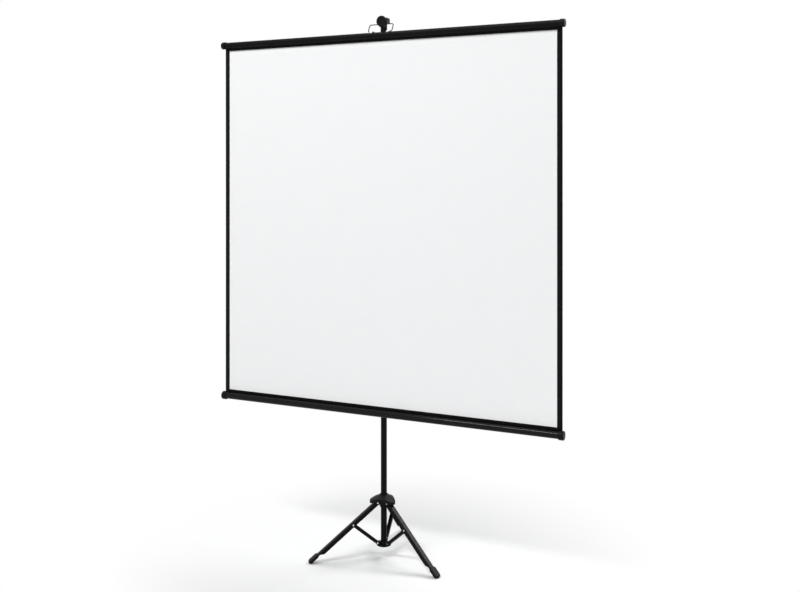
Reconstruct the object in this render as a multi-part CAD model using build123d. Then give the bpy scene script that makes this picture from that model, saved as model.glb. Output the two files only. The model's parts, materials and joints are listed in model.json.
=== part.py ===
from build123d import *
import math
import os

# Tripod projection screen, set up with the fabric drawn out of its case and hooked on the mast.
# Millimetres. X runs along the screen to the viewer's right, Y runs to the back, Z is up.
# The floor is z = 0.
# While building, y = 0 is the axis of the case. All pieces are moved along Y together at the end.

# Screen
FABRIC_W = 1780.0
FABRIC_T = 0.3
CASE_Z = 689.0
PULL_H = 1787.0
SLAT_Z = CASE_Z + PULL_H

# Case, roller and roller spring
CASE_R = 16.5
CASE_WALL = 1.3
CASE_CAP_R = 20.5
CASE_CAP_L = 24.0
CASE_CAP_REACH = 10.0
BEARING_WALL = 2.5
BEARING_L = 3.5
CAP_WALL = 3.0
CAP_ROUND = 4.0
SLOT_W = 2.4
SLAT_SLOT_W = 1.2
SLOT_SPARE = 2.0
ROLLER_R = 6.0
ROLLER_WALL = 0.8
ROLL_TURNS = 1.4
PLUG_L = 20.0
GUDGEON_R = 2.5
MANDREL_R = 2.5
SPRING_WIRE_R = 0.5
SPRING_PITCH = 3.0
SPRING_TURNS = 40

# Slat and bail
SLAT_R = 15.3
SLAT_WALL = 1.2
SLAT_CAP_R = 18.5
SLAT_CAP_L = 22.0
SLAT_CAP_REACH = 14.0
KEDER_R = 2.0
KEDER_DROP = 9.0
BAIL_WIRE_R = 2.2
BAIL_HALF_W = 63.0
BAIL_H = 42.0
BAIL_CORNER = 11.0
BAIL_END = 30.0
BAIL_LEAN = 27.0
BAIL_GAP = 1.3
CLIP_X = 44.0
CLIP_L = 14.0
CLIP_R = 4.6
STRAP_T = 1.6
STRAP_FRONT = 9.0

# Mast
MAST_R = 14.5
MAST_WALL = 1.5
MAST_GAP = 16.0
MAST_TOP = 1400.0
INNER_R = 12.6
INNER_WALL = 1.2
INNER_OVERLAP = 130.0
GUIDE_L = 12.0
COLLAR_R = 20.0
COLLAR_BELOW = 20.0
COLLAR_ABOVE = 40.0
COLLAR_KNOB_RISE = 24.0

# Hook head
HEAD_FRONT_GAP = 1.0
LIP_T = 4.5
LIP_R = 26.0
LIP_RISE = 15.0
NOTCH_W = 5.0
HEAD_HALF_W = 25.0
HEAD_BACK = 19.0
HEAD_STEP = 8.0
CROWN_RISE = 10.0
ARM_HALF_W = 12.0
ARM_H = 9.0
HEAD_SLEEVE_R = 16.0
HEAD_SLEEVE_L = 80.0
HEAD_ROUND = 6.0
HEAD_PIN_R = 2.0

# Carriage and swing pivot
CARRIAGE_R = 19.5
CARRIAGE_BELOW = 18.0
CARRIAGE_ABOVE = 42.0
CARRIAGE_KNOB_RISE = 25.2
SADDLE_T = 2.6
SADDLE_HALF_W = 45.0
SADDLE_FRONT = 12.8
PAD_R = 14.0
PAD_RISE = 3.9
WASHER_T = 1.0
WASHER_R = 11.2
PIVOT_R = 4.0
PIVOT_HEAD_R = 9.0
PIVOT_HEAD_T = 2.0
PIVOT_HEAD_GAP = 1.0
SADDLE_SCREW_X = 35.0
SADDLE_SCREW_ANGLE = 30.0

# Tripod
LEG_AZIMUTHS = (-20.0, -140.0, 100.0)
LEG_ANGLE = 51.0
HUB_PIVOT_R = 32.5
HUB_PIVOT_Z = 259.0
BRACE_L = 152.0
LEG_W = 27.0
LEG_H = 19.0
LEG_SHEET = 1.5
BEND_IN = 3.0
NECK_H = 7.0
NECK_L = 42.0
TAPER_L = 18.0
FOOT_W = 35.0
FOOT_T = 16.0
FOOT_L = 56.0
FOOT_ROUND = 6.0
FOOT_CORNER = 13.0
FOOT_GRIP = 36.0
FOOT_FLAT = 2.0
BRACE_W = 18.0
BRACE_H = 15.0
BRACE_SHEET = 1.5
BRACE_OPEN = 16.0
RIVET_R = 2.5
RIVET_HEAD_R = 4.2
RIVET_HEAD_T = 1.8
RIVET_DOME = 1.1
SPACER_R = 4.0
HUB_R = 19.5
HUB_BELOW = 22.0
HUB_NECK = 39.0
HUB_CAP_R = 68.5
HUB_CAP_CORNER = 23.0
HUB_CAP_SLOPE = 23.7
HUB_CAP_NECK = 4.0
HUB_CAP_T = 4.0
HUB_CAP_RIM = 13.0
HUB_CAP_RIM_T = 3.0
HUB_CAP_ROUND = 2.0
TONGUE_END_R = 5.9
DISH_R = 35.0
DISH_T = 6.5
DISH_ROUND = 5.0
LOWER_HUB_R = 18.5
LOWER_HUB_BELOW = 15.0
LOWER_HUB_ABOVE = 4.0
LOWER_HUB_FLOOR = 4.0
LUG_END_R = 7.0
LUG_SINK = 3.0

# Lock knobs
KNOB_R = 13.0
KNOB_T = 12.0
KNOB_LOBES = 6
KNOB_SCALLOP_R = 4.3
KNOB_SCALLOP_DEPTH = 1.7
KNOB_INSERT = 8.4
KNOB_NECK_R = 7.0
KNOB_NECK_L = 3.0
STUD_R = 3.0
STUD_BOSS_R = 8.0
STUD_BOSS_L = 7.0
KNOB_GAP = 1.0
HUB_KNOB_AZIMUTH = 160.0
HUB_KNOB_DROP = 11.0
BACK_AZIMUTH = 90.0

# Small screws and rivets
SCREW_R = 1.8
SCREW_HEAD_R = 3.4
SCREW_HEAD_T = 1.8
SCREW_TIP = 1.0
RECESS_L = 3.8
RECESS_W = 0.9
RECESS_DEPTH = 1.0
CLIP_RIVET_R = 1.5
CLIP_RIVET_HEAD_R = 2.8
CLIP_RIVET_HEAD_T = 1.2

# Rounded edges
COLLAR_ROUND = 4.0
LIP_ROUND = 2.0
KNOB_ROUND = 1.5

# Clearances
FIT = 0.05
RUN = 0.3

# Sizes that follow from the ones above
HALF_W = FABRIC_W / 2
ROLL_R = ROLLER_R + FIT + ROLL_TURNS
FABRIC_Y = ROLL_R + FIT + FABRIC_T / 2
MAST_Y = CASE_R + MAST_GAP + MAST_R
CASE_END = HALF_W + CASE_CAP_REACH
SPRING_R = MANDREL_R + RUN + SPRING_WIRE_R
SLAT_END = HALF_W + SLAT_CAP_REACH
LOWER_PIVOT_Z = HUB_PIVOT_Z - 2 * BRACE_L * math.cos(math.radians(LEG_ANGLE))
MAST_BOTTOM = LOWER_PIVOT_Z - LOWER_HUB_BELOW + LOWER_HUB_FLOOR
HUB_TOP = HUB_PIVOT_Z + HUB_NECK


def tube_x(radius, x0, x1, y, z):
    return Pos((x0 + x1) / 2, y, z) * Rot(0, 90, 0) * Cylinder(radius, x1 - x0)


def tube_y(radius, y0, y1, x, z):
    return Pos(x, (y0 + y1) / 2, z) * Rot(90, 0, 0) * Cylinder(radius, y1 - y0)


def tube_z(radius, z0, z1, x=0.0, y=0.0):
    return Pos(x, y, (z0 + z1) / 2) * Cylinder(radius, z1 - z0)


def block(x0, x1, y0, y1, z0, z1):
    return Pos((x0 + x1) / 2, (y0 + y1) / 2, (z0 + z1) / 2) * Box(x1 - x0, y1 - y0, z1 - z0)


def on_mast(shape, azimuth=0.0):
    """Turns a shape built around the Z axis to an azimuth and sets it on the mast's axis."""
    return Pos(0, MAST_Y, 0) * Rot(0, 0, azimuth) * shape


def hang(shape, radius, height, lean):
    """Sets a shape that hangs down from the origin at a pivot in the X-Z plane, leaning outward."""
    return Pos(radius, 0, height) * Rot(0, -lean, 0) * shape


nodes = {}

# Mast: outer tube, with the lower hub on its foot and the collar on its top.


def screw_z(tip_z, seat_z):
    """A screw along Z, from its tip to a head that sits at seat_z, with a cross recess in its head."""
    top_z = seat_z + SCREW_HEAD_T
    screw = tube_z(SCREW_R, tip_z, seat_z + FIT) + tube_z(SCREW_HEAD_R, seat_z + FIT, top_z)
    recess = Pos(0, 0, top_z - RECESS_DEPTH / 2) * Box(RECESS_L, RECESS_W, RECESS_DEPTH)
    return screw - recess - Rot(0, 0, 90) * recess


def side_screw(outer_r, inner_r, height):
    """A short screw along X, from the left side of a sleeve into the tube inside it."""
    return on_mast(Pos(0, 0, height) * Rot(0, -90, 0) * screw_z(inner_r, outer_r))


def side_hole(outer_r, height):
    return tube_x(SCREW_R + FIT, -outer_r - 1, -MAST_R / 2, 0, height)


LOWER_HUB_BOTTOM = LOWER_PIVOT_Z - LOWER_HUB_BELOW
LOWER_HUB_TOP = LOWER_PIVOT_Z + LOWER_HUB_ABOVE
LOWER_SCREW_Z = (LOWER_HUB_BOTTOM + DISH_T + LOWER_HUB_TOP) / 2
LUG_ROOT = LOWER_HUB_BELOW - DISH_T + FIT
lug_half = BRACE_W / 2 - BRACE_SHEET - RUN
lug_arm = Rectangle(HUB_PIVOT_R - LOWER_HUB_R + LUG_SINK, LUG_END_R + LUG_ROOT, align=(Align.MAX, Align.MIN))
lug = extrude(
    Plane.XZ * (Circle(LUG_END_R) + Pos(0, -LUG_ROOT) * lug_arm),
    amount=lug_half,
    both=True,
)
lug = hang(lug, HUB_PIVOT_R, LOWER_PIVOT_Z, 0)
dish = tube_z(DISH_R, LOWER_HUB_BOTTOM, LOWER_HUB_BOTTOM + DISH_T)
dish = fillet(dish.edges().group_by(Axis.Z)[0], DISH_ROUND)
# The braces' ears and rivets pass through slots in the dish, one on each side of a lug.
slot_from = HUB_PIVOT_R - BRACE_H / 2 - 2 * RUN
slot_half = BRACE_W / 2 + FIT + RIVET_HEAD_T + 2 * RUN
slot = block(slot_from, 2 * DISH_R, lug_half - RUN, slot_half, LOWER_HUB_BOTTOM - 1, LOWER_PIVOT_Z)
for azimuth in LEG_AZIMUTHS:
    dish = dish - Rot(0, 0, azimuth) * slot - Rot(0, 0, azimuth) * slot.mirror(Plane.XZ)
lower_hub = dish + tube_z(LOWER_HUB_R, LOWER_HUB_BOTTOM, LOWER_HUB_TOP)
lower_hub = lower_hub + [Rot(0, 0, a) * lug for a in LEG_AZIMUTHS]
lower_hub = lower_hub - tube_z(MAST_R + FIT, MAST_BOTTOM, LOWER_HUB_TOP + 1)
nodes["lower_hub"] = on_mast(lower_hub - side_hole(LOWER_HUB_R, LOWER_SCREW_Z))
nodes["lower_hub_screw"] = side_screw(LOWER_HUB_R, MAST_R - MAST_WALL, LOWER_SCREW_Z)

COLLAR_BOTTOM = MAST_TOP - COLLAR_BELOW
COLLAR_TOP = MAST_TOP + COLLAR_ABOVE
COLLAR_SCREW_Z = MAST_TOP - COLLAR_BELOW / 2
COLLAR_KNOB_Z = MAST_TOP + COLLAR_KNOB_RISE
collar = tube_z(COLLAR_R, COLLAR_BOTTOM, COLLAR_TOP)
collar = fillet(collar.edges().group_by(Axis.Z)[-1], COLLAR_ROUND)
to_back = Rot(0, 0, BACK_AZIMUTH)
collar = collar + to_back * tube_x(STUD_BOSS_R, 0, COLLAR_R + STUD_BOSS_L, 0, COLLAR_KNOB_Z)
collar = collar - tube_z(MAST_R + FIT, COLLAR_BOTTOM - 1, MAST_TOP + FIT)
collar = collar - tube_z(INNER_R + 2 * FIT, MAST_TOP - 1, COLLAR_TOP + 1)
collar = collar - side_hole(COLLAR_R, COLLAR_SCREW_Z)
collar = collar - to_back * tube_x(STUD_R + FIT, 0, 3 * COLLAR_R, 0, COLLAR_KNOB_Z)
nodes["mast_collar"] = on_mast(collar)
nodes["collar_screw"] = side_screw(COLLAR_R, MAST_R - MAST_WALL, COLLAR_SCREW_Z)

outer_tube = tube_z(MAST_R, MAST_BOTTOM, MAST_TOP)
outer_tube = outer_tube - tube_z(MAST_R - MAST_WALL, MAST_BOTTOM - 1, MAST_TOP + 1)
for height in (LOWER_SCREW_Z, COLLAR_SCREW_Z):
    outer_tube = outer_tube - side_hole(MAST_R, height)
nodes["mast_outer_tube"] = on_mast(outer_tube)

# Lock knobs: a lobed plastic head on a steel stud, built along Z with the stud's tip at the origin.


def knob_pair(reach):
    """The knob head and the stud for a sleeve whose boss ends at reach from the stud's tip."""
    base = reach + KNOB_GAP
    outline = Circle(KNOB_R)
    scallop = Pos(KNOB_R + KNOB_SCALLOP_R - KNOB_SCALLOP_DEPTH, 0) * Circle(KNOB_SCALLOP_R)
    for n in range(KNOB_LOBES):
        outline = outline - Rot(0, 0, 360.0 * n / KNOB_LOBES) * scallop
    head = Pos(0, 0, base + KNOB_NECK_L) * extrude(outline, amount=KNOB_T)
    head = fillet(head.edges().group_by(Axis.Z)[-1], KNOB_ROUND)
    head = head + tube_z(KNOB_NECK_R, base, base + KNOB_NECK_L)
    depth = base + KNOB_NECK_L + KNOB_INSERT
    head = head - tube_z(STUD_R + FIT, base - 1, depth + FIT)
    return head, tube_z(STUD_R, 0, depth)


def place_knob(shape, tip_r, height, azimuth):
    return on_mast(Pos(tip_r, 0, height) * Rot(0, 90, 0) * shape, azimuth)


tip = INNER_R + RUN
head, stud = knob_pair(COLLAR_R + STUD_BOSS_L - tip)
nodes["mast_knob"] = place_knob(head, tip, COLLAR_KNOB_Z, BACK_AZIMUTH)
nodes["mast_knob_stud"] = place_knob(stud, tip, COLLAR_KNOB_Z, BACK_AZIMUTH)

# Inner mast: tube, foot guide, hook head and its cross pin.
INNER_BOTTOM = MAST_TOP - INNER_OVERLAP
BAIL_TOP_Y = CASE_R + HEAD_FRONT_GAP + LIP_T + NOTCH_W / 2
BAIL_PIVOT_Y = BAIL_TOP_Y - BAIL_H * math.sin(math.radians(BAIL_LEAN))
BAIL_PIVOT_Z = SLAT_Z + math.sqrt(SLAT_R**2 - BAIL_PIVOT_Y**2) + BAIL_WIRE_R + BAIL_GAP
BAIL_TOP_Z = BAIL_PIVOT_Z + BAIL_H * math.cos(math.radians(BAIL_LEAN))
NOTCH_Z = BAIL_TOP_Z - BAIL_WIRE_R - RUN
LIP_Z = BAIL_TOP_Z + LIP_RISE
HEAD_TOP = LIP_Z + LIP_R
HEAD_BOTTOM = NOTCH_Z - ARM_H - HEAD_SLEEVE_L
INNER_TOP = HEAD_TOP - HEAD_STEP - 3 * HEAD_ROUND
HEAD_PIN_Z = HEAD_BOTTOM + HEAD_SLEEVE_L / 3

LIP_Y = CASE_R + HEAD_FRONT_GAP
NOTCH_Y = LIP_Y + LIP_T
lip = tube_y(LIP_R, LIP_Y, NOTCH_Y, 0, LIP_Z)
lip = fillet(lip.edges().group_by(Axis.Y)[0], LIP_ROUND)
crown = block(
    -HEAD_HALF_W,
    HEAD_HALF_W,
    NOTCH_Y + NOTCH_W,
    MAST_Y + HEAD_BACK,
    NOTCH_Z + CROWN_RISE,
    HEAD_TOP - HEAD_STEP,
)
crown = fillet(crown.edges().filter_by(Axis.Z) + crown.edges().group_by(Axis.Z)[-1], HEAD_ROUND)
arm = block(-ARM_HALF_W, ARM_HALF_W, LIP_Y, MAST_Y, NOTCH_Z - ARM_H, NOTCH_Z)
arm = fillet(arm.edges().filter_by(Axis.X).group_by(Axis.Z)[0].group_by(Axis.Y)[0], HEAD_ROUND)
sleeve = tube_z(HEAD_SLEEVE_R, HEAD_BOTTOM, NOTCH_Z + CROWN_RISE, 0, MAST_Y)
hook = lip + crown + arm + sleeve
hook = hook - tube_z(INNER_R + FIT, HEAD_BOTTOM - 1, INNER_TOP + FIT, 0, MAST_Y)
hook = hook - tube_x(HEAD_PIN_R + FIT, -HEAD_SLEEVE_R - 1, HEAD_SLEEVE_R + 1, MAST_Y, HEAD_PIN_Z)
nodes["hook_head"] = hook
nodes["head_pin"] = tube_x(HEAD_PIN_R, -HEAD_SLEEVE_R, HEAD_SLEEVE_R, MAST_Y, HEAD_PIN_Z)

inner_tube = tube_z(INNER_R, INNER_BOTTOM, INNER_TOP, 0, MAST_Y)
inner_tube = inner_tube - tube_z(INNER_R - INNER_WALL, INNER_BOTTOM - 1, INNER_TOP + 1, 0, MAST_Y)
inner_tube = inner_tube - tube_x(HEAD_PIN_R + FIT, -INNER_R - 1, INNER_R + 1, MAST_Y, HEAD_PIN_Z)
nodes["mast_inner_tube"] = inner_tube
guide = tube_z(MAST_R - MAST_WALL - FIT, INNER_BOTTOM - GUIDE_L, INNER_BOTTOM - FIT)
guide = guide + tube_z(INNER_R - INNER_WALL - FIT, INNER_BOTTOM - GUIDE_L, INNER_BOTTOM + 2 * GUIDE_L)
nodes["inner_mast_guide"] = on_mast(guide)

# Carriage on the outer tube, with the swing pivot in front and its lock knob behind.
SADDLE_R = CASE_R + FIT + SADDLE_T
PAD_Y = CASE_R + PAD_RISE
BOSS_Y = PAD_Y + 2 * RUN + WASHER_T
PIVOT_HEAD_Y = MAST_Y - MAST_R - RUN - PIVOT_HEAD_GAP - PIVOT_HEAD_T
CARRIAGE_KNOB_Z = CASE_Z + CARRIAGE_KNOB_RISE
CARRIAGE_BOTTOM = CASE_Z - CARRIAGE_BELOW
CARRIAGE_TOP = CASE_Z + CARRIAGE_ABOVE
carriage = tube_z(CARRIAGE_R, CARRIAGE_BOTTOM, CARRIAGE_TOP, 0, MAST_Y)
carriage = carriage + tube_y(PAD_R, BOSS_Y, MAST_Y, 0, CASE_Z)
carriage = carriage + tube_y(STUD_BOSS_R, MAST_Y, MAST_Y + CARRIAGE_R + STUD_BOSS_L, 0, CARRIAGE_KNOB_Z)
carriage = carriage - tube_z(MAST_R + RUN, CARRIAGE_BOTTOM - 1, CARRIAGE_TOP + 1, 0, MAST_Y)
carriage = carriage - tube_y(PIVOT_R + FIT, BOSS_Y - 1, MAST_Y, 0, CASE_Z)
carriage = carriage - tube_y(PIVOT_HEAD_R + RUN, PIVOT_HEAD_Y - RUN, MAST_Y, 0, CASE_Z)
carriage = carriage - tube_y(STUD_R + FIT, MAST_Y, MAST_Y + 3 * CARRIAGE_R, 0, CARRIAGE_KNOB_Z)
nodes["carriage"] = carriage

tip = MAST_R + RUN
head, stud = knob_pair(CARRIAGE_R + STUD_BOSS_L - tip)
nodes["carriage_knob"] = place_knob(head, tip, CARRIAGE_KNOB_Z, BACK_AZIMUTH)
nodes["carriage_knob_stud"] = place_knob(stud, tip, CARRIAGE_KNOB_Z, BACK_AZIMUTH)

# Case: slotted tube, end caps, saddle with its screws, and the swing pivot bolt.
slot_half = HALF_W + SLOT_SPARE
fabric_slot = Pos(0, FABRIC_Y, CASE_Z + CASE_R) * Box(2 * slot_half, SLOT_W, 2 * CASE_R)
saddle_turns = [
    Pos(x, 0, CASE_Z) * Rot(angle - 90, 0, 0)
    for x in (-SADDLE_SCREW_X, SADDLE_SCREW_X)
    for angle in (-SADDLE_SCREW_ANGLE, SADDLE_SCREW_ANGLE)
]
saddle_screw = screw_z(CASE_R - CASE_WALL - SCREW_TIP, SADDLE_R)
saddle_holes = [turn * tube_z(SCREW_R + FIT, CASE_R / 2, 2 * CASE_R) for turn in saddle_turns]
case_half = CASE_END - CAP_WALL - FIT
case_tube = tube_x(CASE_R, -case_half, case_half, 0, CASE_Z)
case_tube = case_tube - tube_x(CASE_R - CASE_WALL, -case_half - 1, case_half + 1, 0, CASE_Z)
nodes["case_tube"] = case_tube - fabric_slot - saddle_holes
nodes["saddle_screws"] = Part() + [turn * saddle_screw for turn in saddle_turns]

saddle = tube_x(SADDLE_R, -SADDLE_HALF_W, SADDLE_HALF_W, 0, CASE_Z)
saddle = saddle & Pos(0, SADDLE_FRONT + CASE_R, CASE_Z) * Box(2 * SADDLE_HALF_W, 2 * CASE_R, 2 * CASE_R)
saddle = saddle + tube_y(PAD_R, SADDLE_FRONT, PAD_Y, 0, CASE_Z)
saddle = saddle - tube_x(CASE_R + FIT, -CASE_END, CASE_END, 0, CASE_Z)
saddle = saddle - tube_y(PIVOT_R + FIT, 0, 2 * PAD_Y, 0, CASE_Z)
nodes["case_saddle"] = saddle - saddle_holes
pivot_bolt = tube_y(PIVOT_R, CASE_R + 2 * RUN, PIVOT_HEAD_Y, 0, CASE_Z)
nodes["swing_bolt"] = pivot_bolt + tube_y(PIVOT_HEAD_R, PIVOT_HEAD_Y, PIVOT_HEAD_Y + PIVOT_HEAD_T, 0, CASE_Z)
washer = tube_y(WASHER_R, PAD_Y + RUN / 2, PAD_Y + RUN / 2 + WASHER_T, 0, CASE_Z)
nodes["swing_washer"] = washer - tube_y(PIVOT_R + RUN, 0, MAST_Y, 0, CASE_Z)


def end_cap(radius, length, end, tube_r, height, sign):
    """A cup-shaped end cap on a tube along X; sign is -1 for the left end and 1 for the right end."""
    cap = tube_x(radius, end - length, end, 0, height)
    cap = fillet(cap.edges().group_by(Axis.X)[-1], CAP_ROUND)
    cap = fillet(cap.edges().group_by(Axis.X)[0], CAP_ROUND / 4)
    cap = cap - tube_x(tube_r + FIT, end - length - 1, end - CAP_WALL, 0, height)
    return cap if sign > 0 else cap.mirror(Plane.YZ)


for side, sign in (("left", -1), ("right", 1)):
    cap = end_cap(CASE_CAP_R, CASE_CAP_L, CASE_END, CASE_R, CASE_Z, sign)
    inner = CASE_END - CAP_WALL
    pin_r = GUDGEON_R if sign > 0 else MANDREL_R
    bearing = tube_x(pin_r + BEARING_WALL, inner - BEARING_L, inner + FIT, 0, CASE_Z)
    hole = tube_x(pin_r + FIT, inner - BEARING_L - 1, inner + CAP_WALL / 2, 0, CASE_Z)
    if sign < 0:
        bearing = bearing.mirror(Plane.YZ)
        hole = hole.mirror(Plane.YZ)
    nodes["case_cap_" + side] = cap + bearing - hole - fabric_slot

# Roller inside the case: tube, plugs, the last turns of fabric, the fixed mandrel and the wound spring.
ROLLER_END = HALF_W + SLOT_SPARE / 2
roller_bore = ROLLER_R - ROLLER_WALL
nodes["roller_tube"] = tube_x(ROLLER_R, -ROLLER_END, ROLLER_END, 0, CASE_Z) - tube_x(
    roller_bore, -ROLLER_END - 1, ROLLER_END + 1, 0, CASE_Z
)
nodes["fabric_turns"] = tube_x(ROLL_R, -HALF_W, HALF_W, 0, CASE_Z) - tube_x(
    ROLLER_R + FIT, -HALF_W - 1, HALF_W + 1, 0, CASE_Z
)
bearing_end = CASE_END - CAP_WALL
idler = tube_x(roller_bore - FIT, ROLLER_END - PLUG_L, ROLLER_END, 0, CASE_Z)
gudgeon_end = bearing_end + CAP_WALL / 2 - RUN
nodes["roller_idler_plug"] = idler + tube_x(GUDGEON_R, ROLLER_END, gudgeon_end, 0, CASE_Z)
spring_plug = tube_x(roller_bore - FIT, -ROLLER_END, -ROLLER_END + PLUG_L, 0, CASE_Z)
nodes["roller_spring_plug"] = spring_plug - tube_x(
    MANDREL_R + FIT, -ROLLER_END - 1, -ROLLER_END + PLUG_L + 1, 0, CASE_Z
)
SPRING_L = SPRING_PITCH * SPRING_TURNS
spring_start = -ROLLER_END + PLUG_L + 2 * SPRING_WIRE_R
nodes["spring_mandrel"] = tube_x(
    MANDREL_R, -bearing_end - CAP_WALL / 2 + RUN, spring_start + SPRING_L + 4 * SPRING_PITCH, 0, CASE_Z
)
coil = Helix(SPRING_PITCH, SPRING_L, SPRING_R)
wire = Plane(coil @ 0, z_dir=coil % 0) * Circle(SPRING_WIRE_R)
spring = sweep(wire, path=coil, is_frenet=True)
nodes["roller_spring"] = Pos(spring_start, 0, CASE_Z) * Rot(0, 90, 0) * spring

# Fabric, from the rear of the roller up to the rod in the slat.
nodes["screen_fabric"] = block(
    -HALF_W,
    HALF_W,
    FABRIC_Y - FABRIC_T / 2,
    FABRIC_Y + FABRIC_T / 2,
    CASE_Z,
    SLAT_Z - KEDER_DROP - KEDER_R - FIT,
)

# Slat: slotted tube, end caps, the rod that holds the fabric, and the clips for the bail.
slat_slot = Pos(0, FABRIC_Y, SLAT_Z - SLAT_R) * Box(2 * slot_half, SLAT_SLOT_W, 2 * SLAT_R)
slat_half = SLAT_END - CAP_WALL - FIT
slat_tube = tube_x(SLAT_R, -slat_half, slat_half, 0, SLAT_Z)
slat_tube = slat_tube - tube_x(SLAT_R - SLAT_WALL, -slat_half - 1, slat_half + 1, 0, SLAT_Z)
clips = []
clip_rivets = []
for x in (-CLIP_X, CLIP_X):
    x0 = x - CLIP_L / 2
    x1 = x + CLIP_L / 2
    strap = tube_x(SLAT_R + FIT + STRAP_T, x0, x1, 0, SLAT_Z)
    strap = strap & block(x0, x1, -STRAP_FRONT, BAIL_PIVOT_Y + CLIP_R, SLAT_Z, SLAT_Z + 2 * SLAT_R)
    clip = strap + tube_x(CLIP_R, x0, x1, BAIL_PIVOT_Y, BAIL_PIVOT_Z)
    clip = clip - tube_x(SLAT_R + FIT, x0 - 1, x1 + 1, 0, SLAT_Z)
    clip = clip - tube_x(BAIL_WIRE_R + FIT, x0 - 1, x1 + 1, BAIL_PIVOT_Y, BAIL_PIVOT_Z)
    turn = Pos(x, 0, SLAT_Z) * Rot(math.degrees(math.asin(STRAP_FRONT / 2 / SLAT_R)), 0, 0)
    rivet_hole = turn * tube_z(CLIP_RIVET_R + FIT, SLAT_R / 2, 2 * SLAT_R)
    clips.append(clip - rivet_hole)
    slat_tube = slat_tube - rivet_hole
    strap_top = SLAT_R + STRAP_T + 2 * FIT
    rivet = tube_z(CLIP_RIVET_R, SLAT_R - SLAT_WALL - SCREW_TIP, strap_top)
    rivet = rivet + tube_z(CLIP_RIVET_HEAD_R, strap_top, strap_top + CLIP_RIVET_HEAD_T)
    clip_rivets.append(turn * rivet)
nodes["slat_tube"] = slat_tube - slat_slot
nodes["bail_clips"] = Part() + clips
nodes["clip_rivets"] = Part() + clip_rivets
nodes["fabric_rod"] = tube_x(KEDER_R, -HALF_W, HALF_W, FABRIC_Y, SLAT_Z - KEDER_DROP)
for side, sign in (("left", -1), ("right", 1)):
    nodes["slat_cap_" + side] = end_cap(SLAT_CAP_R, SLAT_CAP_L, SLAT_END, SLAT_R, SLAT_Z, sign) - slat_slot

# Bail: one bent wire, its ends turned inward through the clips, leaning back into the hook's notch.
bail_line = FilletPolyline(
    (-BAIL_END, 0, 0),
    (-BAIL_HALF_W, 0, 0),
    (-BAIL_HALF_W, 0, BAIL_H),
    (BAIL_HALF_W, 0, BAIL_H),
    (BAIL_HALF_W, 0, 0),
    (BAIL_END, 0, 0),
    radius=BAIL_CORNER,
)
bail = sweep(Plane(bail_line @ 0, z_dir=bail_line % 0) * Circle(BAIL_WIRE_R), path=bail_line)
nodes["bail"] = Pos(0, BAIL_PIVOT_Y, BAIL_PIVOT_Z) * Rot(-BAIL_LEAN, 0, 0) * bail

# Upper hub: a barrel that slides on the outer tube, with a tongue for each leg under one sloping cap.
tongue = hang(
    extrude(
        Plane.XZ
        * (
            Circle(TONGUE_END_R)
            + Pos(-HUB_PIVOT_R / 2 + HUB_R / 4, 0) * Rectangle(HUB_PIVOT_R - HUB_R / 2, 2 * TONGUE_END_R)
        ),
        amount=LEG_W / 2 - LEG_SHEET - RUN,
        both=True,
    ),
    HUB_PIVOT_R,
    HUB_PIVOT_Z,
    0,
)
tongue = tongue - Pos(HUB_PIVOT_R, 0, HUB_PIVOT_Z) * Rot(90, 0, 0) * Cylinder(RIVET_R + FIT, 2 * LEG_W)


def cap_prism(inset):
    """The plan of the hub's cap as a tall prism: a triangle with its round corners over the legs."""
    plan = RegularPolygon(HUB_CAP_R + HUB_CAP_CORNER - 2 * inset, 3, rotation=LEG_AZIMUTHS[0])
    plan = fillet(plan.vertices(), HUB_CAP_CORNER - inset)
    return Pos(0, 0, HUB_PIVOT_Z - HUB_CAP_R) * extrude(plan, amount=HUB_CAP_R + HUB_NECK)


def under_roof(drop):
    """A cone that fills the space under the roof of the hub's cap, lowered by drop."""
    reach = 3 * HUB_CAP_R
    height = reach * math.tan(math.radians(HUB_CAP_SLOPE))
    apex = HUB_TOP - HUB_CAP_NECK - drop + HUB_R * height / reach
    return Pos(0, 0, apex - height / 2) * Cone(reach, 0, height)


cap = cap_prism(0) & under_roof(0)
roof = cap.faces().filter_by(GeomType.CONE)[0]
cap = fillet([e for e in roof.edges() if e.geom_type not in (GeomType.LINE, GeomType.CIRCLE)], HUB_CAP_ROUND)
cap = cap - under_roof(HUB_CAP_RIM) - (cap_prism(HUB_CAP_RIM_T) & under_roof(HUB_CAP_T))
HUB_KNOB_Z = HUB_PIVOT_Z - HUB_KNOB_DROP
hub = cap + tube_z(HUB_R, HUB_PIVOT_Z - HUB_BELOW, HUB_TOP)
hub = hub + [Rot(0, 0, a) * tongue for a in LEG_AZIMUTHS]
hub = hub + Rot(0, 0, HUB_KNOB_AZIMUTH) * tube_x(STUD_BOSS_R, 0, HUB_R + STUD_BOSS_L, 0, HUB_KNOB_Z)
hub = hub - Rot(0, 0, HUB_KNOB_AZIMUTH) * tube_x(STUD_R + FIT, 0, 3 * HUB_R, 0, HUB_KNOB_Z)
hub = hub - tube_z(MAST_R + RUN, HUB_PIVOT_Z - HUB_BELOW - 1, HUB_TOP + 1)
nodes["hub"] = on_mast(hub)

tip = MAST_R + RUN
head, stud = knob_pair(HUB_R + STUD_BOSS_L - tip)
nodes["hub_knob"] = place_knob(head, tip, HUB_KNOB_Z, HUB_KNOB_AZIMUTH)
nodes["hub_knob_stud"] = place_knob(stud, tip, HUB_KNOB_Z, HUB_KNOB_AZIMUTH)


def rivet_y(half, head_gap):
    """A rivet along Y through a channel of the given half width, with a head on each side."""
    shank = tube_y(RIVET_R, -half - head_gap, half + head_gap, 0, 0)
    right = tube_y(RIVET_HEAD_R, half + head_gap, half + head_gap + RIVET_HEAD_T, 0, 0)
    right = fillet(right.edges().group_by(Axis.Y)[-1], RIVET_DOME)
    return shank + right + right.mirror(Plane.XZ)


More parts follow.
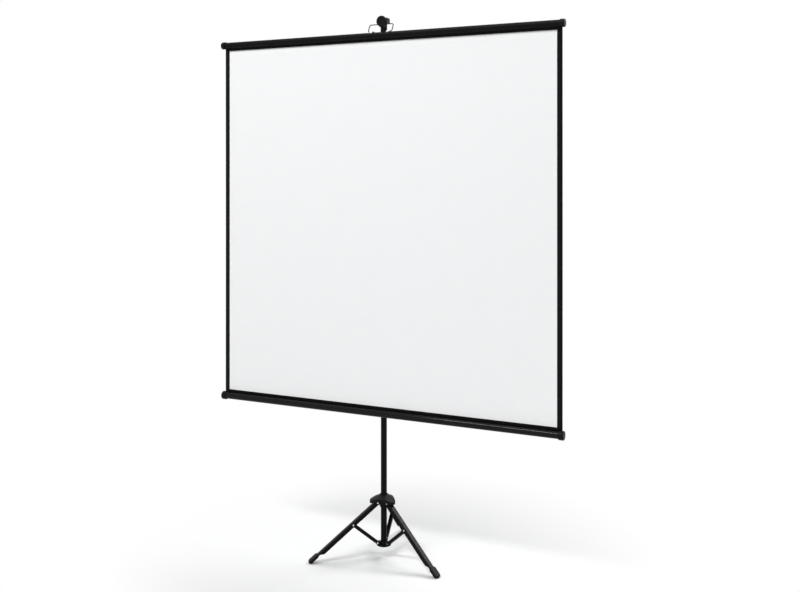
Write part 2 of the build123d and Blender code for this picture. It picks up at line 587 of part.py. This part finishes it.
hub_rivet = Pos(HUB_PIVOT_R, 0, HUB_PIVOT_Z) * rivet_y(LEG_W / 2, FIT)
nodes["hub_rivets"] = Part() + [on_mast(hub_rivet, a) for a in LEG_AZIMUTHS]


def channel(side, width, top, sheet, low, high):
    """A pressed channel along Z, open to -X. side is its outline seen along Y, and its back is at x = top."""

    def bar(back, half_w, bend):
        section = Pos(back - top, 0) * Rectangle(2 * top, 2 * half_w)
        section = fillet(section.vertices().group_by(Axis.X)[-1], bend)
        return Pos(0, 0, low) * extrude(section, amount=high - low)

    outline = extrude(Plane.XZ * side, amount=width / 2, both=True)
    return outline & bar(top, width / 2, BEND_IN + sheet) - bar(top - sheet, width / 2 - sheet, BEND_IN)


# Legs: a pressed channel that opens downward, its walls cut back to a neck that sits in a moulded foot.
lean = math.radians(LEG_ANGLE)
foot_inner = LEG_H / 2 - NECK_H / 2 - FOOT_T / 2
foot_drop = HUB_PIVOT_Z + FOOT_FLAT - FOOT_ROUND + (foot_inner + FOOT_ROUND) * math.sin(lean)
FOOT_END = foot_drop / math.cos(lean) + FOOT_ROUND
NECK_END = FOOT_END - FOOT_L + FOOT_GRIP
TAPER_END = NECK_END - NECK_L
TAPER_START = TAPER_END - TAPER_L
half_h = LEG_H / 2
leg_side = Circle(half_h) + Polygon(
    (half_h, 0),
    (half_h, -NECK_END),
    (half_h - NECK_H, -NECK_END),
    (half_h - NECK_H, -TAPER_END),
    (-half_h, -TAPER_START),
    (-half_h, 0),
    align=None,
)
inside = LEG_W / 2 - LEG_SHEET
leg = channel(leg_side, LEG_W, half_h, LEG_SHEET, -FOOT_END, LEG_H)
leg = leg - tube_y(RIVET_R + FIT, -LEG_W, LEG_W, 0, 0)
leg = leg - tube_y(RIVET_R + FIT, -LEG_W, LEG_W, 0, -BRACE_L)
foot_mid = half_h - NECK_H / 2
foot = Pos(foot_mid - FOOT_T / 2, 0, 0) * extrude(
    Plane.YZ * (Pos(0, -FOOT_END + FOOT_L / 2) * RectangleRounded(FOOT_W, FOOT_L, FOOT_CORNER)), amount=FOOT_T
)
foot = fillet(foot.edges().group_by(Axis.X)[0] + foot.edges().group_by(Axis.X)[-1], FOOT_ROUND)
socket_w = LEG_W / 2 + FIT
foot = foot - block(half_h - NECK_H - FIT, half_h + FIT, -socket_w, socket_w, -NECK_END - FIT, -TAPER_END)

# Braces: a small channel between leg and lower hub, its lower ears riveted either side of a lug.
brace_r = BRACE_H / 2
brace_side = Circle(brace_r) + Pos(0, -BRACE_L) * Circle(brace_r)
brace_side = brace_side + Pos(0, -BRACE_L / 2) * Rectangle(BRACE_H, BRACE_L)
brace_in = BRACE_W / 2 - BRACE_SHEET
brace = channel(brace_side, BRACE_W, brace_r, BRACE_SHEET, -BRACE_L - BRACE_H, BRACE_H)
brace = brace - block(-BRACE_H, BRACE_H, -brace_in, brace_in, -BRACE_L - BRACE_H, -BRACE_L + BRACE_OPEN)
brace = brace - tube_y(RIVET_R + FIT, -BRACE_W, BRACE_W, 0, 0)
brace = brace - tube_y(RIVET_R + FIT, -BRACE_W, BRACE_W, 0, -BRACE_L)
spacer = tube_y(SPACER_R, BRACE_W / 2 + 2 * FIT, inside - 2 * FIT, 0, -BRACE_L)
brace_pin = Pos(0, 0, -BRACE_L) * rivet_y(LEG_W / 2, FIT)
brace_pin = brace_pin + spacer + spacer.mirror(Plane.XZ)
ear_rivet = tube_y(RIVET_R, brace_in + FIT, BRACE_W / 2 + FIT, 0, -BRACE_L) + tube_y(
    RIVET_HEAD_R, BRACE_W / 2 + FIT, BRACE_W / 2 + FIT + RIVET_HEAD_T, 0, -BRACE_L
)
ear_rivets = Part() + [ear_rivet, ear_rivet.mirror(Plane.XZ)]

brace_top_r = HUB_PIVOT_R + BRACE_L * math.sin(lean)
brace_top_z = HUB_PIVOT_Z - BRACE_L * math.cos(lean)
floor = block(-2 * HALF_W, 2 * HALF_W, -2 * HALF_W, 2 * HALF_W, -HALF_W, 0)
for n, azimuth in enumerate(LEG_AZIMUTHS, 1):
    nodes[f"leg_{n}"] = on_mast(hang(leg, HUB_PIVOT_R, HUB_PIVOT_Z, LEG_ANGLE), azimuth)
    nodes[f"foot_{n}"] = on_mast(hang(foot, HUB_PIVOT_R, HUB_PIVOT_Z, LEG_ANGLE), azimuth) - floor
    nodes[f"leg_{n}_pin"] = on_mast(hang(brace_pin, HUB_PIVOT_R, HUB_PIVOT_Z, LEG_ANGLE), azimuth)
    nodes[f"brace_{n}"] = on_mast(hang(brace, brace_top_r, brace_top_z, -LEG_ANGLE), azimuth)
    nodes[f"brace_{n}_rivets"] = on_mast(hang(ear_rivets, brace_top_r, brace_top_z, -LEG_ANGLE), azimuth)

# The frame's origin is on the floor, in the middle of the width and of the depth.
front = min(shape.bounding_box().min.Y for shape in nodes.values())
back = max(shape.bounding_box().max.Y for shape in nodes.values())
Y_MOVE = -(front + back) / 2

os.makedirs("parts", exist_ok=True)
for name, shape in nodes.items():
    export_step(Pos(0, Y_MOVE, 0) * shape, f"parts/{name}.step")
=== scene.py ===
import json
import math

import bpy
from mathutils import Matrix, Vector


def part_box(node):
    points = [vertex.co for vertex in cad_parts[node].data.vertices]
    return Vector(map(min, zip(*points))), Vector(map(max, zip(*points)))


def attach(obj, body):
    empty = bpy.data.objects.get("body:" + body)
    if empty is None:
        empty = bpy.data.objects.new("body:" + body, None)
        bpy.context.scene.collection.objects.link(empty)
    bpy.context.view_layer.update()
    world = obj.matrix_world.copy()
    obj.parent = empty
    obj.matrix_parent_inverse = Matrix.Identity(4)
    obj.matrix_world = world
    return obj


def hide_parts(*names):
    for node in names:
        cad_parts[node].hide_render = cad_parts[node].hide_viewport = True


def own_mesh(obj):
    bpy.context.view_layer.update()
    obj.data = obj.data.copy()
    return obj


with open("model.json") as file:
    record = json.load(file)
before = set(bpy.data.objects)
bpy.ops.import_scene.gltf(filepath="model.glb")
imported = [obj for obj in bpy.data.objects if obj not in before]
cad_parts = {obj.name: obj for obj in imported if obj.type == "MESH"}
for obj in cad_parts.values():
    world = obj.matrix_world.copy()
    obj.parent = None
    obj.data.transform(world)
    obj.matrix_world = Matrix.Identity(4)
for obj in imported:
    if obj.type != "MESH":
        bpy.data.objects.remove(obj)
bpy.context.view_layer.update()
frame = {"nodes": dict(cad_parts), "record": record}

# Photograph in pixels, and the camera fitted to it, in degrees. The sensor is in millimetres.
PHOTO_W = 800
PHOTO_H = 592
HORIZON_ROW = 172.3
FOCAL_PX = 988.9
CAMERA_PLACE = (2.143, -4.258, 1.829)
CAMERA_TILT = 90.0
CAMERA_YAW = 26.1
SENSOR_W = 36.0

# Screen fabric. The slant is the share of a wave by which the waves drift from bottom to top.
SIDE_BORDER = 0.025
BOTTOM_STRIP = 0.031
TOP_STRIP = 0.027
FABRIC_T = 0.0003
FRONT_THREAD = 0.0008
BACK_THREAD = 0.0011
WAVE = 0.0009
WAVE_LENGTH = 0.62
WAVE_SLANT = 0.35
EDGE_CURL = 0.0016
CURL_REACH = 0.05
SHEET_COLUMNS = 72
SHEET_ROWS = 64
STRIP_ROWS = 4

# Turns of fabric on the roller
TURN_PITCH = 0.0003
TURN_T = 0.00024
TURN_STEPS = 60

# Stage
FLOOR_R = 40.0
FLOOR_SIDES = 96
FLOOR_GAP = 0.0003
FLOOR_GRAIN = 0.4
FLOOR_ROUGHNESS = 0.8
FLOOR_FADE_START = 0.35
FLOOR_FADE_END = 1.3
AMBIENT = 0.43

# Area lamps, with the size as width and height
LAMPS = {
    "overhead_strip": dict(place=(-1.8, -5.0, 8.0), aim=(0.4, -0.1, 0.7), size=(3.4, 0.6), watts=375),
    "rear_top": dict(place=(0.0, 2.0, 4.4), aim=(0.0, -0.1, 0.2), size=(3.5, 2.5), watts=80),
    "rear_right": dict(place=(2.6, 3.2, 4.5), aim=(0.1, -0.1, 0.15), size=(2.0, 1.6), watts=150),
    "front_fill": dict(place=(0.8, -7.0, 2.0), aim=(0.0, 0.0, 1.4), size=(4.0, 3.0), watts=50),
}

# Linear colours
PAINT_DARK = (0.0036, 0.0037, 0.004)
PAINT_LIGHT = (0.0056, 0.0057, 0.0061)
PAINT_RUBBED = (0.03, 0.0305, 0.0315)
ANODISED_DARK = (0.0033, 0.0035, 0.004)
ANODISED_LIGHT = (0.0048, 0.005, 0.0058)
ANODISED_LINES = (0.008, 0.0083, 0.0095)
PLASTIC_DARK = (0.004, 0.0041, 0.0044)
PLASTIC_LIGHT = (0.0066, 0.0067, 0.0071)
PLASTIC_HANDLED = (0.02, 0.0203, 0.021)
BUSH_DARK = (0.5, 0.5, 0.47)
BUSH_LIGHT = (0.6, 0.6, 0.58)
ZINC_DARK = (0.52, 0.53, 0.55)
ZINC_LIGHT = (0.68, 0.69, 0.7)
ZINC_EDGE = (0.42, 0.42, 0.43)
WIRE_DARK = (0.22, 0.23, 0.26)
WIRE_LIGHT = (0.36, 0.36, 0.37)
FIELD_DARK = (0.895, 0.897, 0.9)
FIELD_LIGHT = (0.915, 0.916, 0.915)
BORDER_DARK = (0.003, 0.003, 0.0032)
BORDER_LIGHT = (0.0045, 0.0045, 0.0048)
BACK_DARK = (0.010, 0.010, 0.0105)
BACK_LIGHT = (0.015, 0.015, 0.0155)
FLOOR_DARK = (0.75, 0.75, 0.75)
FLOOR_LIGHT = (0.77, 0.77, 0.77)
AMBIENT_COLOUR = (0.97, 0.985, 1.0)
WHITE = (1.0, 1.0, 1.0)

# Turn of the rounded normal from the flat one, as 1 - cosine, where an edge's wear begins and is full
WEAR_BEGINS = 0.02
WEAR_FULL = 0.25

# Length of one band of the wave texture at scale 1
WAVE_BAND = math.pi / 10


class Finish:
    """A material's nodes, with short calls for the textures that the finishes are made of."""

    def __init__(self, name, metallic=0.0, specular=0.5):
        self.material = bpy.data.materials.new(name)
        self.material.use_nodes = True
        self.tree = self.material.node_tree
        self.shader = self.tree.nodes["Principled BSDF"]
        self.shader.inputs["Metallic"].default_value = metallic
        self.shader.inputs["Specular IOR Level"].default_value = specular
        self.place = self.add("ShaderNodeTexCoord").outputs["Object"]

    def add(self, kind, **settings):
        node = self.tree.nodes.new(kind)
        for key, value in settings.items():
            setattr(node, key, value)
        return node

    def link(self, source, target):
        self.tree.links.new(source, target)

    def noise(self, grain, detail=2, stretch=(1, 1, 1)):
        """Noise with grains of about that size, drawn out along each axis by stretch."""
        scale = self.add("ShaderNodeMapping")
        scale.inputs["Scale"].default_value = [1 / (grain * factor) for factor in stretch]
        self.link(self.place, scale.inputs["Vector"])
        texture = self.add("ShaderNodeTexNoise")
        texture.inputs["Scale"].default_value = 1.0
        texture.inputs["Detail"].default_value = detail
        self.link(scale.outputs["Vector"], texture.inputs["Vector"])
        return texture.outputs["Fac"]

    def spread(self, source, low, high, start=0.3, end=0.7):
        """The source's values from start to end, spread from low to high."""
        node = self.add("ShaderNodeMapRange")
        self.link(source, node.inputs["Value"])
        node.inputs["From Min"].default_value = start
        node.inputs["From Max"].default_value = end
        node.inputs["To Min"].default_value = low
        node.inputs["To Max"].default_value = high
        return node.outputs["Result"]

    def mix(self, share, first, second):
        """A colour between two, each of them three numbers or another node's output."""
        node = self.add("ShaderNodeMix", data_type="RGBA")
        self.link(share, node.inputs["Factor"])
        for socket, colour in ((node.inputs["A"], first), (node.inputs["B"], second)):
            if isinstance(colour, tuple):
                socket.default_value = (*colour, 1.0)
            else:
                self.link(colour, socket)
        return node.outputs["Result"]

    def math(self, operation, first, second):
        """Two other nodes' outputs, combined by a maths operation."""
        node = self.add("ShaderNodeMath", operation=operation)
        self.link(first, node.inputs[0])
        self.link(second, node.inputs[1])
        return node.outputs["Value"]

    def edges(self, radius):
        """A mask that is 1 along sharp edges and 0 elsewhere."""
        bevel = self.add("ShaderNodeBevel", samples=6)
        bevel.inputs["Radius"].default_value = radius
        flat = self.add("ShaderNodeNewGeometry").outputs["Normal"]
        cosine = self.add("ShaderNodeVectorMath", operation="DOT_PRODUCT")
        self.link(bevel.outputs["Normal"], cosine.inputs[0])
        self.link(flat, cosine.inputs[1])
        full = 1.0 - WEAR_FULL
        none = 1.0 - WEAR_BEGINS
        return self.spread(cosine.outputs["Value"], low=1.0, high=0.0, start=full, end=none)

    def colour(self, source):
        self.link(source, self.shader.inputs["Base Color"])

    def roughness(self, source):
        self.link(source, self.shader.inputs["Roughness"])

    def bump(self, height, depth, strength):
        node = self.add("ShaderNodeBump")
        node.inputs["Strength"].default_value = strength
        node.inputs["Distance"].default_value = depth
        self.link(height, node.inputs["Height"])
        self.link(node.outputs["Normal"], self.shader.inputs["Normal"])


def black_paint():
    """Satin powder coat on steel tube and sheet: orange peel, and thin rubbed edges."""
    finish = Finish("black_paint", specular=0.06)
    body = finish.mix(finish.noise(grain=0.06), PAINT_DARK, PAINT_LIGHT)
    patches = finish.spread(finish.noise(grain=0.02, detail=4), low=0.0, high=0.8)
    rubbed = finish.math("MULTIPLY", finish.edges(radius=0.0008), patches)
    finish.colour(finish.mix(rubbed, body, PAINT_RUBBED))
    finish.roughness(finish.spread(finish.noise(grain=0.015, detail=4), low=0.25, high=0.36))
    finish.bump(finish.noise(grain=0.0014, detail=1), depth=0.00006, strength=0.6)
    return finish.material


def black_anodised(name, specular, smoothest, roughest):
    """Black aluminium extrusion with fine drawing lines along its length."""
    finish = Finish(name, specular=specular)
    lines = finish.noise(grain=0.0006, stretch=(900, 1, 1))
    body = finish.mix(finish.noise(grain=0.08), ANODISED_DARK, ANODISED_LIGHT)
    finish.colour(finish.mix(finish.spread(lines, low=0.0, high=0.35), body, ANODISED_LINES))
    finish.roughness(finish.spread(lines, low=smoothest, high=roughest))
    finish.bump(lines, depth=0.000012, strength=0.5)
    return finish.material


def black_plastic():
    """Moulded plastic with a spark-eroded grain, paler where its edges are handled."""
    finish = Finish("black_plastic", specular=0.08)
    grain = finish.noise(grain=0.0007, detail=3)
    body = finish.mix(finish.noise(grain=0.03, detail=3), PLASTIC_DARK, PLASTIC_LIGHT)
    patches = finish.spread(finish.noise(grain=0.012, detail=4), low=0.1, high=0.9)
    handled = finish.math("MULTIPLY", finish.edges(radius=0.0012), patches)
    finish.colour(finish.mix(handled, body, PLASTIC_HANDLED))
    finish.roughness(finish.spread(grain, low=0.36, high=0.5))
    finish.bump(grain, depth=0.00007, strength=0.7)
    return finish.material


def grey_plastic():
    """Natural moulded plastic of the hidden bushes, faintly mottled."""
    finish = Finish("grey_plastic", specular=0.4)
    finish.colour(finish.mix(finish.noise(grain=0.012, detail=3), BUSH_DARK, BUSH_LIGHT))
    finish.roughness(finish.spread(finish.noise(grain=0.004), low=0.45, high=0.6))
    finish.bump(finish.noise(grain=0.001), depth=0.00004, strength=0.5)
    return finish.material


def steel():
    """Bright zinc plate with a crystalline mottle and duller edges."""
    finish = Finish("steel", metallic=1.0)
    body = finish.mix(finish.noise(grain=0.003, detail=4), ZINC_DARK, ZINC_LIGHT)
    finish.colour(finish.mix(finish.edges(radius=0.0004), body, ZINC_EDGE))
    finish.roughness(finish.spread(finish.noise(grain=0.0012, detail=3), low=0.24, high=0.42))
    finish.bump(finish.noise(grain=0.0005), depth=0.00002, strength=0.4)
    return finish.material


def spring_steel():
    """Oiled spring wire, with the bluish cast of its tempering."""
    finish = Finish("spring_steel", metallic=1.0)
    finish.colour(finish.mix(finish.noise(grain=0.006, detail=3), WIRE_DARK, WIRE_LIGHT))
    finish.roughness(finish.spread(finish.noise(grain=0.002), low=0.25, high=0.45))
    finish.bump(finish.noise(grain=0.0004, detail=1), depth=0.00001, strength=0.4)
    return finish.material


def coated_cloth(name, dark, light, thread, smoothest, roughest):
    """Coated screen cloth: the weave shows through the coating as a fine square relief."""
    finish = Finish(name, specular=0.1)
    weave = []
    for direction in ("X", "Z"):
        wave = finish.add("ShaderNodeTexWave", wave_type="BANDS", bands_direction=direction)
        wave.inputs["Scale"].default_value = WAVE_BAND / thread
        wave.inputs["Distortion"].default_value = 0.6
        finish.link(finish.place, wave.inputs["Vector"])
        weave.append(wave.outputs["Fac"])
    relief = finish.math("ADD", *weave)
    mottle = finish.noise(grain=0.09, detail=4)
    finish.colour(finish.mix(mottle, dark, light))
    finish.roughness(finish.spread(mottle, low=smoothest, high=roughest))
    finish.bump(relief, depth=0.00003, strength=0.4)
    return finish.material


# Finishes of the model's material slots
FINISHES = {
    "black_paint": black_paint(),
    "black_anodised": black_anodised("black_anodised", specular=0.13, smoothest=0.07, roughest=0.14),
    "black_plastic": black_plastic(),
    "grey_plastic": grey_plastic(),
    "steel": steel(),
    "spring_steel": spring_steel(),
}

# The slat is duller than the case, though both are anodised
MATT_NODE = "slat_tube"
MATT_ANODISED = black_anodised("matt_anodised", specular=0.06, smoothest=0.4, roughest=0.5)

# The sheets' cloths, and the place of each in a sheet's list of materials
CLOTHS = (
    coated_cloth("screen_white", FIELD_DARK, FIELD_LIGHT, FRONT_THREAD, smoothest=0.7, roughest=0.8),
    coated_cloth("screen_border", BORDER_DARK, BORDER_LIGHT, FRONT_THREAD, smoothest=0.65, roughest=0.75),
    coated_cloth("screen_back", BACK_DARK, BACK_LIGHT, BACK_THREAD, smoothest=0.55, roughest=0.65),
)
FIELD = 0
BORDER = 1
BACK = 2


def dress_solids():
    """Gives every solid the finish of its material slot. The fabric's two are replaced by sheets instead."""
    for part in frame["record"]["subparts"]:
        finish = FINISHES.get(part["material_slot"])
        if finish is None:
            continue
        if part["node"] == MATT_NODE:
            finish = MATT_ANODISED
        mesh = frame["nodes"][part["node"]].data
        mesh.materials.clear()
        mesh.materials.append(finish)


def new_piece(name, points, faces, finishes, picks):
    """A smooth mesh object. picks gives each face its place in the list of finishes."""
    mesh = bpy.data.meshes.new(name)
    mesh.from_pydata(points, [], faces)
    for finish in finishes:
        mesh.materials.append(finish)
    mesh.polygons.foreach_set("material_index", picks)
    mesh.polygons.foreach_set("use_smooth", [True] * len(faces))
    mesh.update()
    piece = bpy.data.objects.new(name, mesh)
    bpy.context.scene.collection.objects.link(piece)
    return piece


def steps(marks, count):
    """Values through all the marks, with about count even steps in all."""
    total = marks[-1] - marks[0]
    values = [marks[0]]
    for start, end in zip(marks, marks[1:]):
        parts = max(1, round(count * (end - start) / total))
        values += [start + (end - start) * (k + 1) / parts for k in range(parts)]
    return values


def cloth_sheet(name, xs, zs, depth_at, front_at):
    """A closed thin sheet over a grid. front_at says whether the front is field or border at a point."""
    columns = len(xs)
    layer = columns * len(zs)
    points = []
    for offset in (-FABRIC_T / 2, FABRIC_T / 2):
        points += [(x, depth_at(x, z) + offset, z) for z in zs for x in xs]
    faces = []
    picks = []
    for row in range(len(zs) - 1):
        middle_z = (zs[row] + zs[row + 1]) / 2
        for column in range(columns - 1):
            middle_x = (xs[column] + xs[column + 1]) / 2
            a = row * columns + column
            b = a + 1
            c = b + columns
            d = a + columns
            faces.append((a, b, c, d))
            picks.append(front_at(middle_x, middle_z))
            faces.append((a + layer, d + layer, c + layer, b + layer))
            picks.append(BACK)
    # The rim runs along the bottom, up the right side, back along the top and down the left side
    last_row = layer - columns
    rim = list(range(columns))
    rim += [row * columns + columns - 1 for row in range(1, len(zs))]
    rim += [last_row + column for column in range(columns - 2, -1, -1)]
    rim += [row * columns for row in range(len(zs) - 2, 0, -1)]
    for a, b in zip(rim, rim[1:] + rim[:1]):
        faces.append((b, a, a + layer, b + layer))
        picks.append(BORDER)
    return new_piece(name, points, faces, CLOTHS, picks)


def hang_screen():
    """The drawn-out fabric: the sheet rides with the case, and the strip above it stays on the slat."""
    low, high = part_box("screen_fabric")
    slat_low, slat_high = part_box("slat_tube")
    case_low, case_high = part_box("case_tube")
    middle = (low.y + high.y) / 2
    strip_bottom = (slat_low.z + slat_high.z) / 2 - TOP_STRIP
    field_bottom = (case_low.z + case_high.z) / 2 + BOTTOM_STRIP

    def depth_at(x, z):
        """Faint waves and curled side edges, which die away towards the case and the slat."""
        share = (z - field_bottom) / (strip_bottom - field_bottom)
        slack = math.sin(math.pi * min(1.0, max(0.0, share))) ** 2
        wave = WAVE * math.sin(2 * math.pi * (x / WAVE_LENGTH + WAVE_SLANT * share))
        edge = min(x - low.x, high.x - x)
        return middle + slack * (wave + EDGE_CURL * math.exp(-edge / CURL_REACH))

    def front_at(x, z):
        inside = low.x + SIDE_BORDER < x < high.x - SIDE_BORDER and z > field_bottom
        return FIELD if inside else BORDER

    xs = steps([low.x, low.x + SIDE_BORDER, high.x - SIDE_BORDER, high.x], SHEET_COLUMNS)
    zs = steps([low.z, field_bottom, strip_bottom], SHEET_ROWS)
    sheet = cloth_sheet("screen_sheet", xs, zs, depth_at, front_at)
    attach(sheet, "case")
    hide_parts("screen_fabric")
    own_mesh(sheet)

    strip_zs = steps([strip_bottom, high.z], STRIP_ROWS)
    strip = cloth_sheet("screen_top_strip", xs, strip_zs, depth_at, lambda x, z: BORDER)
    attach(strip, "slat")


def roll_turns():
    """The turns of fabric left on the roller, wound as one spiral that ends where the sheet leaves it."""
    low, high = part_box("fabric_turns")
    roller_low, roller_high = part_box("roller_tube")
    centre_y = (low.y + high.y) / 2
    centre_z = (low.z + high.z) / 2
    inner = (roller_high.y - roller_low.y) / 2 + TURN_PITCH / 2
    outer = (high.y - low.y) / 2 - TURN_PITCH / 2
    turns = (outer - inner) / TURN_PITCH
    count = round(turns * TURN_STEPS)

    def spiral(offset):
        side = []
        for k in range(count + 1):
            radius = inner + (outer - inner) * k / count + offset
            angle = 2 * math.pi * turns * (1 - k / count)
            side.append((centre_y + radius * math.cos(angle), centre_z + radius * math.sin(angle)))
        return side

    section = spiral(TURN_T / 2) + spiral(-TURN_T / 2)[::-1]
    around = len(section)
    points = [(x, y, z) for x in (low.x, high.x) for y, z in section]
    faces = [(k, (k + 1) % around, (k + 1) % around + around, k + around) for k in range(around)]
    # Each end is closed by one face per step, from the outside of the spiral to its inside
    for k in range(count):
        end_face = (k, k + 1, around - 2 - k, around - 1 - k)
        faces.append(end_face[::-1])
        faces.append(tuple(point + around for point in end_face))
    piece = new_piece("fabric_roll", points, faces, (CLOTHS[BACK],), [0] * len(faces))
    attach(piece, "roller")
    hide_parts("fabric_turns")


def white_where_seen(tree):
    """1 for camera, gloss and glass rays, which see plain white, and 0 for the light on the object."""
    path = tree.nodes.new("ShaderNodeLightPath")
    seen = path.outputs["Is Camera Ray"]
    for ray in ("Is Glossy Ray", "Is Transmission Ray"):
        both = tree.nodes.new("ShaderNodeMath")
        both.operation = "MAXIMUM"
        tree.links.new(seen, both.inputs[0])
        tree.links.new(path.outputs[ray], both.inputs[1])
        seen = both.outputs["Value"]
    return seen


def make_world():
    """A white background around the object, and dimmer light from all sides on it."""
    world = bpy.data.worlds.new("studio")
    world.use_nodes = True
    tree = world.node_tree
    out = tree.nodes["World Output"]
    ambient = tree.nodes["Background"]
    ambient.inputs["Color"].default_value = (*AMBIENT_COLOUR, 1.0)
    ambient.inputs["Strength"].default_value = AMBIENT
    white = tree.nodes.new("ShaderNodeBackground")
    white.inputs["Color"].default_value = (*WHITE, 1.0)
    mix = tree.nodes.new("ShaderNodeMixShader")
    tree.links.new(white_where_seen(tree), mix.inputs["Fac"])
    tree.links.new(ambient.outputs["Background"], mix.inputs[1])
    tree.links.new(white.outputs["Background"], mix.inputs[2])
    tree.links.new(mix.outputs["Shader"], out.inputs["Surface"])
    bpy.context.scene.world = world


def make_floor():
    """A pale floor that takes the object's shadow and fades to the white background further out."""
    place = (0, 0, -FLOOR_GAP)
    bpy.ops.mesh.primitive_circle_add(vertices=FLOOR_SIDES, radius=FLOOR_R, fill_type="NGON", location=place)
    floor = bpy.context.object
    floor.name = "floor"
    finish = Finish("floor", specular=0.1)
    tree = finish.tree
    finish.colour(finish.mix(finish.noise(grain=FLOOR_GRAIN, detail=3), FLOOR_DARK, FLOOR_LIGHT))
    finish.shader.inputs["Roughness"].default_value = FLOOR_ROUGHNESS
    distance = finish.add("ShaderNodeVectorMath", operation="LENGTH")
    finish.link(finish.place, distance.inputs[0])
    metres = distance.outputs["Value"]
    far = finish.spread(metres, low=0.0, high=1.0, start=FLOOR_FADE_START, end=FLOOR_FADE_END)
    share = finish.math("MULTIPLY", far, white_where_seen(tree))
    white = finish.add("ShaderNodeEmission")
    mix = finish.add("ShaderNodeMixShader")
    finish.link(share, mix.inputs["Fac"])
    finish.link(finish.shader.outputs["BSDF"], mix.inputs[1])
    finish.link(white.outputs["Emission"], mix.inputs[2])
    finish.link(mix.outputs["Shader"], tree.nodes["Material Output"].inputs["Surface"])
    floor.data.materials.append(finish.material)


def area_lamp(name, place, aim, size, watts):
    lamp = bpy.data.lights.new(name, "AREA")
    lamp.shape = "RECTANGLE"
    lamp.size, lamp.size_y = size
    lamp.energy = watts
    light = bpy.data.objects.new(name, lamp)
    light.location = place
    direction = Vector(aim) - Vector(place)
    light.rotation_euler = direction.to_track_quat("-Z", "Y").to_euler()
    bpy.context.scene.collection.objects.link(light)


def make_camera():
    """A level camera, shifted so that the horizon lies on its row of the photograph."""
    camera = bpy.data.objects.new("camera", bpy.data.cameras.new("camera"))
    camera.location = CAMERA_PLACE
    camera.rotation_euler = (math.radians(CAMERA_TILT), 0, math.radians(CAMERA_YAW))
    camera.data.sensor_width = SENSOR_W
    camera.data.lens = FOCAL_PX / PHOTO_W * SENSOR_W
    camera.data.shift_y = (HORIZON_ROW - PHOTO_H / 2) / PHOTO_W
    bpy.context.scene.collection.objects.link(camera)
    bpy.context.scene.camera = camera


dress_solids()
hang_screen()
roll_turns()
make_world()
make_floor()
for lamp_name, settings in LAMPS.items():
    area_lamp(lamp_name, **settings)
make_camera()
bpy.context.scene.view_settings.view_transform = "Standard"
